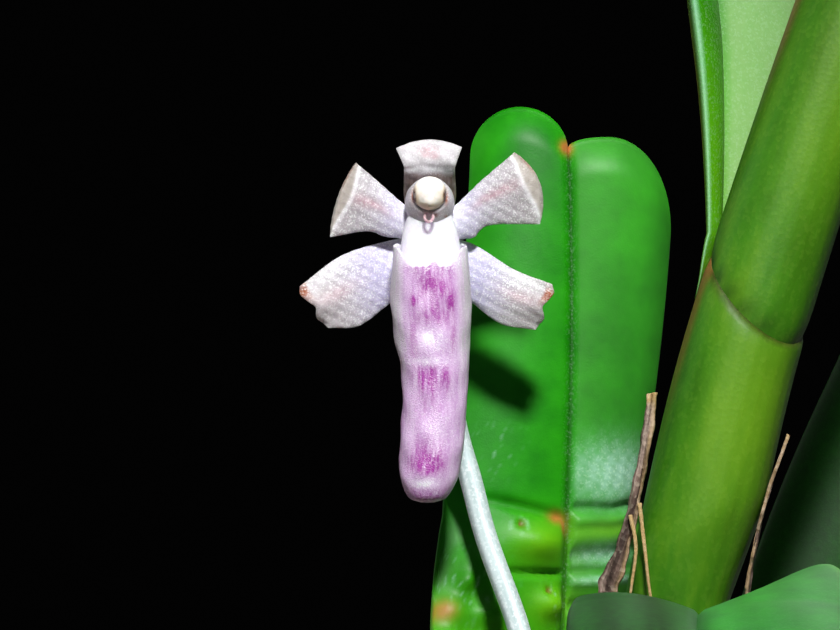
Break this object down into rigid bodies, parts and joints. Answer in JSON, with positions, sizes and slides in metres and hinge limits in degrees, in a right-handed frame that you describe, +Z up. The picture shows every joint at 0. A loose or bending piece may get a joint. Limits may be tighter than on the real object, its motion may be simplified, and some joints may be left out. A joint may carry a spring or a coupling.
{
  "type": "potted orchid plant",
  "caption": "Small leafy orchid in bloom, planted in bark in a plain clay pot: an upright sheathed stem, notched strap leaves and a spurred pale lilac flower on a thin stalk.",
  "frame": {"origin": "middle of the underside of the pot", "axes": "+Z up along the height of the plant; the open flower faces -Y; +X is to the right seen from the flower side"},
  "size_m": [0.1396, 0.1201, 0.2364],
  "materials": {
    "terracotta": "matte",
    "pine_bark": "matte",
    "leaf": "satin",
    "green_sheath": "satin",
    "dry_sheath": "matte",
    "root_velamen": "matte",
    "tepal": "satin",
    "spur": "satin",
    "pedicel": "satin",
    "anther_cap": "satin"
  },
  "bodies": {
    "root": {"anther_cap": "anther_cap", "bark_bed": "pine_bark", "bark_chip_1": "pine_bark", "bark_chip_2": "pine_bark", "bark_chip_3": "pine_bark", "bark_chip_4": "pine_bark", "bark_chip_5": "pine_bark", "bark_chip_6": "pine_bark", "bark_chip_7": "pine_bark", "bark_chip_8": "pine_bark", "bark_chip_9": "pine_bark", "bud_1": "spur", "bud_2": "spur", "bud_3": "spur", "column": "tepal", "dorsal_sepal": "tepal", "dry_fibre_left": "dry_sheath", "dry_fibre_right": "dry_sheath", "dry_sheath_collar": "dry_sheath", "dry_strip_left": "dry_sheath", "dry_strip_right": "dry_sheath", "flower_pedicel": "pedicel", "lateral_sepal_left": "tepal", "lateral_sepal_right": "tepal", "leaf_behind_flower": "leaf", "leaf_front": "leaf", "leaf_low_left": "leaf", "leaf_low_right": "leaf", "leaf_top_left": "leaf", "leaf_top_right": "leaf", "leaf_upper_left": "leaf", "leaf_upper_right": "leaf", "leaf_youngest": "leaf", "lip_and_spur": "spur", "petal_left": "tepal", "petal_right": "tepal", "pot": "terracotta", "raceme_axis": "pedicel", "root_aerial": "root_velamen", "root_back": "root_velamen", "root_front": "root_velamen", "root_left": "root_velamen", "root_over_rim": "root_velamen", "sheath_1": "dry_sheath", "sheath_10": "green_sheath", "sheath_2": "dry_sheath", "sheath_3": "green_sheath", "sheath_4": "green_sheath", "sheath_5": "green_sheath", "sheath_7": "green_sheath", "sheath_8": "green_sheath", "sheath_9": "green_sheath", "side_leaf_back": "leaf", "side_leaf_right": "leaf", "side_leaf_tall": "leaf", "side_shoot": "green_sheath", "stem": "green_sheath"}
  },
  "joints": []
}
